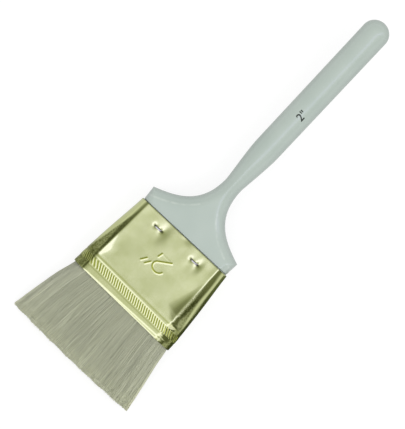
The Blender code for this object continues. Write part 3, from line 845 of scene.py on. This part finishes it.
def handle_outline():
    """Half of the handle's plan from the shoulder's corner to where the end rounds off."""
    corner = np.array([SHOULDER_CORNER, SHOULDER_HALF_WIDTH])
    to_neck = np.array([math.sin(SHOULDER_CUT_ANGLE), -math.cos(SHOULDER_CUT_ANGLE)])
    neck = np.array([RIM_X + NECK_PLACE, NECK_HALF_WIDTH])
    grip = np.array([RIM_X + GRIP_PLACE, GRIP_HALF_WIDTH])
    dome = np.array([HANDLE_END - END_ROUND, GRIP_END_HALF_WIDTH])
    cut = bezier(corner, corner + to_neck * SHOULDER_CUT_PULL, neck - (NECK_CUT_PULL, 0), neck, 96)
    waist = bezier(neck, neck + (NECK_GRIP_PULL, 0), grip - (GRIP_PULL, 0), grip, 34)
    grip_line = grip + (dome - grip) * np.linspace(0, 1, 28)[:, None]
    return np.concatenate([cut, waist, grip_line])


def side_rounding(y, half_width, half_thickness):
    """Height of the unrouted plank: flat faces with rounded sides."""
    centre = half_width - SHOULDER_SIDE - END_INSET
    reach = half_width - centre
    start = END_INSET / reach
    rise = half_thickness / (1 - start**RIM_EXPONENT) ** (1 / RIM_EXPONENT)
    out = np.clip((np.abs(y) - centre) / reach, 0, 1)
    rounded = rise * (1 - out**RIM_EXPONENT) ** (1 / RIM_EXPONENT)
    return np.minimum(half_thickness, rounded)


def rounding_at(x):
    """(half thickness, radius) of the routed edge at x: the grip is round, the rest is flatter."""
    from_rim = x - RIM_X
    thick = SHOULDER_HALF_THICKNESS + ARRIS
    thinning = ease(THINNING_START, 2 * NECK_PLACE - THINNING_START, from_rim)
    height = thick + (NECK_HALF_THICKNESS - thick) * thinning
    to_round = ease(NECK_PLACE, GRIP_PLACE, from_rim)
    height += (GRIP_HALF_WIDTH - NECK_HALF_THICKNESS) * to_round
    return height, ROUND_OVER + (height - ROUND_OVER) * to_round


def inside_cut(x, y, outline):
    """How far inside the routed outline each place (x, y) is."""
    cut = [outline[0] - (outline[1] - outline[0]) * 20, *outline]
    return soft_min(path_distance(x, np.abs(y), cut), path_distance(x, -np.abs(y), cut), CUT_ROUNDING)


def routed_height(x, y, outline):
    """Height of the routed form at places (x, y) of one station."""
    height, radius = rounding_at(x)
    away = np.minimum(inside_cut(np.full_like(y, x), y, outline), radius)
    return height - radius + np.sqrt(np.maximum(radius**2 - (radius - away) ** 2, 0))


RING_STEPS = 44  # from the middle of a face to its side
WALL_STEPS = 4


def handle_ring(x, half_width, height_of):
    """A closed ring of the handle at x: front face, wall, back face, wall."""
    y = half_width * np.sin(np.linspace(math.pi / 2, -math.pi / 2, 2 * RING_STEPS + 1))
    z = np.maximum(height_of(y), 0)
    wall = np.linspace(z[-1], -z[-1], WALL_STEPS + 1)[1:-1]
    left = np.column_stack([np.full(len(wall), -half_width), wall])
    front = np.column_stack([y, z])
    back = np.column_stack([-y, -z[::-1]])
    right = np.column_stack([np.full(len(wall), half_width), -wall])
    ring = np.concatenate([front, left, back, right])
    return np.column_stack([np.full(len(ring), x), ring])


def shoulder_half_width(x):
    share = (x - RIM_X) / SHOULDER_LENGTH
    return SHOULDER_RIM_HALF_WIDTH + (SHOULDER_HALF_WIDTH - SHOULDER_RIM_HALF_WIDTH) * share


def tang_ring(x):
    """The part of the handle inside the ferrule, with the sheet's own taper in thickness."""
    inset = SHEET + FIT_GAP
    half_width = RIM_HALF_WIDTH - inset
    thickness = along_ferrule(LIP_HALF_THICKNESS, RIM_HALF_THICKNESS, x) - inset
    return handle_ring(x, half_width, lambda y: side_rounding(y, half_width, thickness - 0.5 * MM))


def body_ring(x, outline, inset=0.0):
    """The routed handle at x, drawn in a little all round where inset is given."""
    plank = shoulder_half_width(x) - inset
    half_width = plank if x <= SHOULDER_CORNER else np.interp(x, outline[:, 0], outline[:, 1])

    def height_of(y):
        flat = side_rounding(y, plank, SHOULDER_HALF_THICKNESS - inset)
        return soft_min(flat, routed_height(x, y, outline), CUT_ROUNDING)

    return handle_ring(x, half_width, height_of)


def dome_ring(turn):
    """A ring of the handle's rounded end, by the angle round its dome."""
    x = HANDLE_END - END_ROUND + END_ROUND * math.sin(turn)
    radius = GRIP_END_HALF_WIDTH * math.cos(turn)
    return handle_ring(x, radius, lambda y: np.sqrt(np.maximum(radius**2 - y * y, 0)))


def make_handle():
    outline = handle_outline()
    face = RIM_X + FIT_GAP
    soft = SHOULDER_EASE
    rings = [tang_ring(x) for x in (RIM_X - TANG_LENGTH, RIM_X - 6 * MM, face)]
    rings += [body_ring(face, outline, soft), body_ring(face + soft / 3, outline, soft / 3)]
    rings += [body_ring(x, outline) for x in spaced(face + soft, SHOULDER_CORNER, 0.25 * MM)]
    rings += [body_ring(x, outline) for x in outline[1:-1, 0]]
    rings += [dome_ring(turn) for turn in np.linspace(0, math.pi / 2, 20)[:-1]]
    count = len(rings[0])
    faces = tube_faces(len(rings), count) + [tuple(range(count))]
    tip = len(rings) * count
    last = tip - count
    faces += [(last + i, last + (i + 1) % count, tip) for i in range(count)]
    points = np.concatenate([*rings, [[HANDLE_END, 0, 0]]])
    x, y = points[:, 0], points[:, 1]
    from_run_and_highlight = np.abs(inside_cut(x, y, outline) - RUN_AND_HIGHLIGHT_INSET) + np.maximum(x - RUN_AND_HIGHLIGHT_END, 0)
    values = {"from_run_and_highlight": from_run_and_highlight}
    handle = mesh_object("lacquered_handle", points, faces, lacquer(), values, math.radians(38))
    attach(handle, HANDLE_BODY)
    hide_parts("handle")
    return handle


# Printed size mark ----------


PRINT_HEIGHT = 3.3 * MM
PRINT_START = (100.3 * MM, -2.6 * MM)  # x and y of the digit's lower left corner
PRINT_REACH = (8 * MM, 5 * MM)  # more than the mark takes up
PRINT_STEP = 0.3 * MM
PRINT_LIFT = 0.015 * MM  # from the lacquer to the ink's surface


def cut_up(bm):
    """Cuts the flat print into small squares, so that it can follow the round grip."""
    bmesh.ops.remove_doubles(bm, verts=bm.verts, dist=0.001 * MM)
    for normal, reach in zip((Vector((1, 0, 0)), Vector((0, 1, 0))), PRINT_REACH):
        for at in np.arange(-reach / 4, reach, PRINT_STEP):
            geometry = [*bm.verts, *bm.edges, *bm.faces]
            bmesh.ops.bisect_plane(bm, geom=geometry, plane_co=normal * at, plane_no=normal)


def thicken(bm):
    bmesh.ops.solidify(bm, geom=bm.faces[:], thickness=2 * PRINT_LIFT)


def make_size_print(handle):
    """A plain printed 2 with its inch marks, laid on the grip."""
    text = bpy.data.curves.new("size_print_text", "FONT")
    text.body = '2"'
    text.size = PRINT_HEIGHT * 1.35
    text.offset = 0.06 * MM
    text.resolution_u = 6
    draft = add_object("size_print_draft", text)
    flat = bpy.data.meshes.new_from_object(draft)
    bpy.data.objects.remove(draft)
    reshape(flat, cut_up)
    tree = BVHTree.FromObject(handle, bpy.context.evaluated_depsgraph_get())
    for vertex in flat.vertices:
        above = STANCE @ Vector((PRINT_START[0] + vertex.co.x, PRINT_START[1] + vertex.co.y, 20 * MM))
        hit, normal, _, _ = tree.ray_cast(above, -FRONT)
        vertex.co = hit + normal * PRINT_LIFT
    reshape(flat, thicken)
    flat.shade_flat()
    flat.materials.clear()
    flat.materials.append(print_ink())
    made = add_object("size_print", flat)
    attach(made, HANDLE_BODY)


# Hair ----------

STRAND_SIDES = 3
# Where a filament has points, as shares of its length: closer where the hair bends.
STRAND_SHARES = np.array([0, 0.0915, 0.175, 0.26, 0.345, 0.43, 0.63, 0.8333, 1])
ROOT_DEPTH = 3.0 * MM  # how far inside the ferrule the modelled strands begin
STRAND_RADIUS = 0.15 * MM
LONG_REACH = 1.014  # where the filaments end, as a share of the free length
STUB_SPAN = (0.955, 1.004)  # and where the ones inside, of which only the tips show, start and end
HAIR_INSET = SHEET + 0.25 * MM
HAIR_BULGE = 0.055
HAIR_LEAN = 0.50 * MM
TIP_BOW = 0.75 * MM
TIP_SLANT = 0.30 * MM
TIP_LIGHT = 0.75  # how much paler the ends of the filaments are, partly their own paler tips and partly painted light

# The hair's outline where it leaves the ferrule: flat faces between two half ellipses.
HAIR_HALF_WIDTH = LIP_HALF_WIDTH - HAIR_INSET
HAIR_CENTRE = HALF_PANEL - END_INSET
HAIR_REACH = HAIR_HALF_WIDTH - HAIR_CENTRE
HAIR_HEIGHT = LIP_HALF_THICKNESS - HAIR_INSET
HAIR_RISE = HAIR_HEIGHT / math.sqrt(1 - (END_INSET / HAIR_REACH) ** 2)


def hair_half_thickness(y):
    out = np.clip((np.abs(y) - HAIR_CENTRE) / HAIR_REACH, 0, 1)
    return np.minimum(HAIR_HEIGHT, HAIR_RISE * np.sqrt(1 - out**2))


def hair_half_width(z):
    return HAIR_CENTRE + HAIR_REACH * np.sqrt(1 - (z / HAIR_RISE) ** 2)


def hair_place(y, z, share):
    """Where a filament that leaves the lip at (y, z) has got to, at a share of the free length."""
    free = np.maximum(share, 0)
    wider = 1 + (TIP_HALF_WIDTH / HAIR_HALF_WIDTH - 1) * share + HAIR_BULGE * free * (1 - free)
    thinner = 1 + (TIP_HALF_THICKNESS / HAIR_HEIGHT - 1) * share
    across = y / HAIR_HALF_WIDTH
    trimmed = TIP_BOW * across**2 + TIP_SLANT * across
    combed = HAIR_LEAN * ease(0.0, 0.3, share)
    return np.stack([-(HAIR_LENGTH - trimmed) * share, y * wider + combed, z * thinner], axis=-1)


def clump_pull(y, rng):
    """How far across each filament's tip is drawn towards the middle of its clump."""
    edges = np.sort(rng.uniform(-1, 1, 46)) * LIP_HALF_WIDTH
    edges = np.concatenate([[-1.2 * LIP_HALF_WIDTH], edges, [1.2 * LIP_HALF_WIDTH]])
    which = np.clip(np.searchsorted(edges, y) - 1, 0, len(edges) - 2)
    middle = (edges[which] + edges[which + 1]) / 2
    return (middle - y) * 0.08, rng.normal(0, 1, len(edges))[which]


def strand_lines(y, z, start, reach, rng):
    """Centre lines (strand, step, xyz) for filaments that leave the lip at (y, z)."""
    count = len(y)
    pull, clump_shade = clump_pull(y, rng)
    ends = reach + rng.normal(0, 0.007, count) + 0.003 * np.sin(y * 900)
    shares = start + (ends - start)[:, None] * STRAND_SHARES
    lines = hair_place(y[:, None], z[:, None], shares)
    bend = np.maximum(shares, 0) ** 2
    stray = rng.normal(0, 0.16 * MM, count)
    lines[..., 1] += bend * (pull + stray)[:, None]
    lines[..., 2] += bend * rng.normal(0, 0.10 * MM, count)[:, None]
    lines[..., 1] += 0.05 * MM * np.sin(shares * 9 + rng.uniform(0, 6.3, count)[:, None]) * bend
    return lines, clump_shade


def tubes(lines, shares, radius, narrowing):
    """Points and faces of thin three-sided filaments that narrow towards their tips."""
    count, steps = lines.shape[:2]
    width = radius * (1 - narrowing * shares**3)
    turn = np.arange(STRAND_SIDES) * 2 * math.pi / STRAND_SIDES
    points = np.repeat(lines[:, :, None, :], STRAND_SIDES, axis=2)
    points[..., 1] += np.cos(turn) * width[:, None]
    points[..., 2] += np.sin(turn) * width[:, None]
    first = np.arange(count * steps * STRAND_SIDES).reshape(count, steps, STRAND_SIDES)
    around = np.roll(first, -1, axis=2)
    quads = np.stack([first[:, :-1], first[:, 1:], around[:, 1:], around[:, :-1]], axis=-1).reshape(-1, 4)
    ends = np.concatenate([first[:, 0], first[:, -1, ::-1]])
    return points.reshape(-1, 3), quads.tolist() + ends.tolist()


def outer_strands(rng):
    """Filaments of the outer layers, front, back and sides."""
    half_width = HAIR_HALF_WIDTH
    ys, zs = [], []
    for side in (1, -1):
        for depth in (0.10, 0.28, 0.50):
            y = np.arange(-half_width, half_width, 0.215 * MM)
            y = np.clip(y + rng.normal(0, 0.07 * MM, len(y)), -half_width + 0.1 * MM, half_width - 0.1 * MM)
            z = np.maximum(hair_half_thickness(y) - depth * MM - np.abs(rng.normal(0, 0.05 * MM, len(y))), 0)
            ys.append(y)
            zs.append(side * z)
    for side in (1, -1):
        for depth in (0.08, 0.3, 0.55):
            z = rng.uniform(-0.98, 0.98, 90) * HAIR_HEIGHT
            ys.append(side * (hair_half_width(z) - depth * MM))
            zs.append(z)
    return np.concatenate(ys), np.concatenate(zs)


def inner_stubs(rng, count=6000):
    """Filaments deep in the hair, of which only the tips are modelled."""
    y = rng.uniform(-HAIR_HALF_WIDTH, HAIR_HALF_WIDTH, count)
    z = rng.uniform(-1, 1, count) * (hair_half_thickness(y) - 0.1 * MM)
    return y, z


def long_filaments(rng):
    """Points, faces and tones of the filaments that reach from the ferrule to the tips, with painted light and
    shade in the tones.
    """
    y, z = outer_strands(rng)
    lines, clump = strand_lines(y, z, -ROOT_DEPTH / HAIR_LENGTH, LONG_REACH, rng)
    points, faces = tubes(lines, STRAND_SHARES, STRAND_RADIUS, 0.55)
    across = y / LIP_HALF_WIDTH
    # Painted light and shade in the tones: the outermost strands much paler, over a wider band on the right, the
    # strands towards the sides darker, and the tips paler.
    edge = np.where(y < 0, ease(0.90, 1, -across), ease(0.93, 1, across))
    shade = 0.5 + 0.04 * clump + rng.normal(0, 0.11, len(y)) - 0.3 * across**4
    shade = shade[:, None] + TIP_LIGHT * STRAND_SHARES**3 + 0.9 * STRAND_SHARES**14
    shade += 2.0 * edge[:, None] * (0.25 + 0.75 * STRAND_SHARES)
    return points, faces, np.repeat(shade.ravel(), STRAND_SIDES)


def stub_filaments(rng):
    """Points, faces and tones of the short ones between them, paler at their tips partly as painted light."""
    y, z = inner_stubs(rng)
    lines, _ = strand_lines(y, z, *STUB_SPAN, rng)
    points, faces = tubes(lines[:, [0, -1]], np.array([0, 1]), STRAND_RADIUS, 0.2)
    shade = 0.5 + TIP_LIGHT + rng.normal(0, 0.18, len(y))
    return points, faces, np.repeat(shade, 2 * STRAND_SIDES)


def make_hair(material):
    rng = np.random.default_rng(7)
    long_points, long_faces, long_shade = long_filaments(rng)
    stub_points, stub_faces, stub_shade = stub_filaments(rng)
    shift = len(long_points)
    faces = long_faces + [tuple(i + shift for i in face) for face in stub_faces]
    points = np.concatenate([long_points, stub_points])
    shade = np.concatenate([long_shade, stub_shade])
    return mesh_object("hair_strands", points, faces, material, {"shade": shade})


def make_hair_core(material):
    """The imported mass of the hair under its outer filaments."""
    y = (HAIR_HALF_WIDTH - 0.5 * MM) * np.sin(np.linspace(-math.pi / 2, math.pi / 2, 81))
    z = np.maximum(hair_half_thickness(y * 1.02) - 0.55 * MM, 0.02 * MM)
    around_y = np.concatenate([y, y[-2:0:-1]])
    around_z = np.concatenate([z, -z[-2:0:-1]])
    shares = np.append(np.linspace(-ROOT_DEPTH / HAIR_LENGTH, 0.94, 13), [0.97, 0.990])
    rings = [hair_place(around_y, around_z, np.full(len(around_y), share)) for share in shares]
    count, total = len(around_y), len(rings) * len(around_y)
    ends = [tuple(range(count))[::-1], tuple(range(total - count, total))]
    faces = tube_faces(len(rings), count) + ends
    # The cap at the tip is made paler as painted light, like the filaments' tips.
    shade = np.repeat(0.55 + 0.8 * ease(0.93, 0.98, shares), count)
    return mesh_object("hair_core", np.concatenate(rings), faces, material, {"shade": shade})


def give_hair_its_bend(*pieces):
    """Bakes each piece's place into its mesh."""
    for piece in pieces:
        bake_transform(piece)


# Scene ----------


def dress_packed_nodes(hair):
    """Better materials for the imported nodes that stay."""
    steel = staple_steel()
    finishes = {"resin_setting": resin_material(), "spacer_strip": bare_wood(), "bristle_root": hair}
    for name, node in frame["nodes"].items():
        material = steel if name.startswith("staple") else finishes.get(name)
        if material:
            node.data.materials.clear()
            node.data.materials.append(material)


# What polished metal reflects: tones by how far a direction leans to the bright side, 0 to 1.
BRIGHT_SIDE = (-0.50, -0.87, 0.0)
STUDIO_TONES = (
    (0.00, (0.25, 0.26, 0.19)),
    (0.33, (0.27, 0.28, 0.20)),
    (0.40, (0.42, 0.43, 0.34)),
    (0.455, (0.54, 0.55, 0.50)),
    (0.485, (0.62, 0.62, 0.62)),
    (0.510, (0.69, 0.69, 0.69)),
    (0.535, (0.80, 0.80, 0.80)),
    (0.570, (1.10, 1.09, 1.24)),
    (0.600, (1.75, 1.66, 2.45)),
    (0.660, (1.75, 1.66, 2.45)),
    (0.700, (1.05, 1.05, 1.08)),
    (0.760, (0.22, 0.23, 0.14)),
    (1.00, (0.15, 0.16, 0.09)),
)
HORIZON_LEVEL = 0.88  # what it reflects from low down instead
HORIZON_FADE = (0.24, 0.54)  # the heights between which the tones take over
EVEN_LEVEL = 0.80  # of the light from all round
FLOOR_GREY = 0.28
FLOOR_GLOW = 0.80
FLOOR_GLOW_IN_METAL = 0.50
# Colour of the sheet that stands for the floor's shadow in reflections, a painted shadow.
SHADOW_CARD_COLOUR = (0.13, 0.15, 0.06)


def flat_sheet(name, low, high, height):
    """A level rectangle between two corners (x, y)."""
    mesh = bpy.data.meshes.new(name)
    corners = [(low[0], low[1], 0), (high[0], low[1], 0), (high[0], high[1], 0), (low[0], high[1], 0)]
    mesh.from_pydata(corners, [], [(0, 1, 2, 3)])
    made = add_object(name, mesh)
    made.location.z = height
    return made


def make_floor():
    """A pale floor that shows as white and keeps the brush's shadow."""
    floor = flat_sheet("floor", (-4, -4), (4, 4), -0.02 * MM)
    material = bpy.data.materials.new("pale_floor")
    material.use_nodes = True
    material.node_tree.nodes.clear()
    nodes = Nodes(material.node_tree, "Object")
    path = nodes.add("ShaderNodeLightPath").outputs
    seen = nodes.math("MAXIMUM", path["Is Camera Ray"], path["Is Transmission Ray"])
    reflected = nodes.math("MULTIPLY", path["Is Glossy Ray"], FLOOR_GLOW_IN_METAL)
    strength = nodes.math("ADD", nodes.math("MULTIPLY", seen, FLOOR_GLOW), reflected)
    plain = nodes.add("ShaderNodeBsdfDiffuse", {"Color": grey(FLOOR_GREY)})
    light = nodes.add("ShaderNodeEmission", {"Color": grey(1), "Strength": strength})
    both = nodes.add("ShaderNodeAddShader", {0: plain.outputs[0], 1: light.outputs[0]})
    nodes.add("ShaderNodeOutputMaterial", {"Surface": both.outputs[0]})
    floor.data.materials.append(material)


def make_painted_shadow_card():
    """A dark sheet that lies to the right of the brush and shows only in its reflections, as a painted shadow of
    the floor there.
    """
    card = flat_sheet("painted_shadow_card", (LIP.x - 50 * MM, -75 * MM), (LIP.x + 38 * MM, -24 * MM), 0.05 * MM)
    card.visible_camera = card.visible_diffuse = card.visible_shadow = False
    nodes = Finish("painted_shadow_card_finish")
    tones = [tuple(share * level for level in SHADOW_CARD_COLOUR) + (1,) for share in (0.8, 1.2)]
    nodes.paint(nodes.mix(nodes.noise(800, detail=3), *tones))
    nodes.set("Roughness", 0.9)
    card.data.materials.append(nodes.material)


def make_world():
    """White behind the brush and even grey light all round.

    Reflections see the studio as it is: brightest high at the front right, pale at the horizon.
    """
    world = bpy.data.worlds.new("studio")
    bpy.context.scene.world = world
    world.use_nodes = True
    world.node_tree.nodes.clear()
    nodes = Nodes(world.node_tree, "Generated")
    side = nodes.ramp(nodes.span(nodes.along(BRIGHT_SIDE), -1, 1), STUDIO_TONES)
    height = nodes.add("ShaderNodeSeparateXYZ", {0: nodes.coordinates}).outputs["Z"]
    reflected = nodes.mix(nodes.span(height, *HORIZON_FADE), grey(HORIZON_LEVEL), side)
    path = nodes.add("ShaderNodeLightPath").outputs
    level = nodes.mix(path["Is Glossy Ray"], grey(EVEN_LEVEL), reflected)
    level = nodes.mix(path["Is Camera Ray"], level, grey(1))
    shader = nodes.add("ShaderNodeBackground", {"Color": level})
    nodes.add("ShaderNodeOutputWorld", {"Surface": shader.outputs[0]})


def add_softbox(name, location, size, power):
    """A rectangular lamp that faces the middle of the brush and doesn't show itself."""
    light = bpy.data.lights.new(name, "AREA")
    light.shape = "RECTANGLE"
    light.size, light.size_y = size
    light.energy = power
    made = add_object(name, light)
    made.location = location
    made.rotation_euler = made.location.to_track_quat("Z", "Y").to_euler()
    made.visible_camera = made.visible_glossy = False


def make_lights():
    """Soft light from both sides; what metal sees of the lamps is part of the world's tones."""
    add_softbox("key_softbox", (-0.10, -0.62, 0.88), (0.75, 0.45), 2.1)
    add_softbox("fill_softbox", (0.15, 0.75, 0.80), (0.60, 0.45), 0.6)


def make_camera():
    """Looks down on the brush's front, leaning a little to its right side."""
    turn = math.radians(46.80)  # of the brush from the picture's horizontal
    lean_across = math.radians(1.5)
    target = STANCE @ Vector((47.68 * MM, 0.98 * MM, 0))
    distance, field = 1.2, 0.1682  # how far off it is, and how wide a stretch it shows there
    right = Vector((math.cos(turn), -math.sin(turn), 0))
    towards = (FRONT - ACROSS * math.tan(lean_across)).normalized()
    up = towards.cross(right).normalized()
    right = up.cross(towards)
    data = bpy.data.cameras.new("camera")
    data.sensor_fit = "AUTO"
    data.sensor_width = 36
    data.lens = data.sensor_width * distance / field
    data.clip_start, data.clip_end = 0.05, 50
    camera = add_object("camera", data)
    camera.matrix_world = Matrix((right, up, towards)).transposed().to_4x4()
    camera.location = target + towards * distance
    bpy.context.scene.camera = camera


def main():
    bpy.context.scene.view_settings.view_transform = "Standard"
    hair = hair_material()
    make_ferrule()
    handle = make_handle()
    make_size_print(handle)
    strands = make_hair(hair)
    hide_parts("bristles")
    core = make_hair_core(hair)
    give_hair_its_bend(strands, core)
    dress_packed_nodes(hair)
    make_floor()
    make_painted_shadow_card()
    make_world()
    make_lights()
    make_camera()


main()
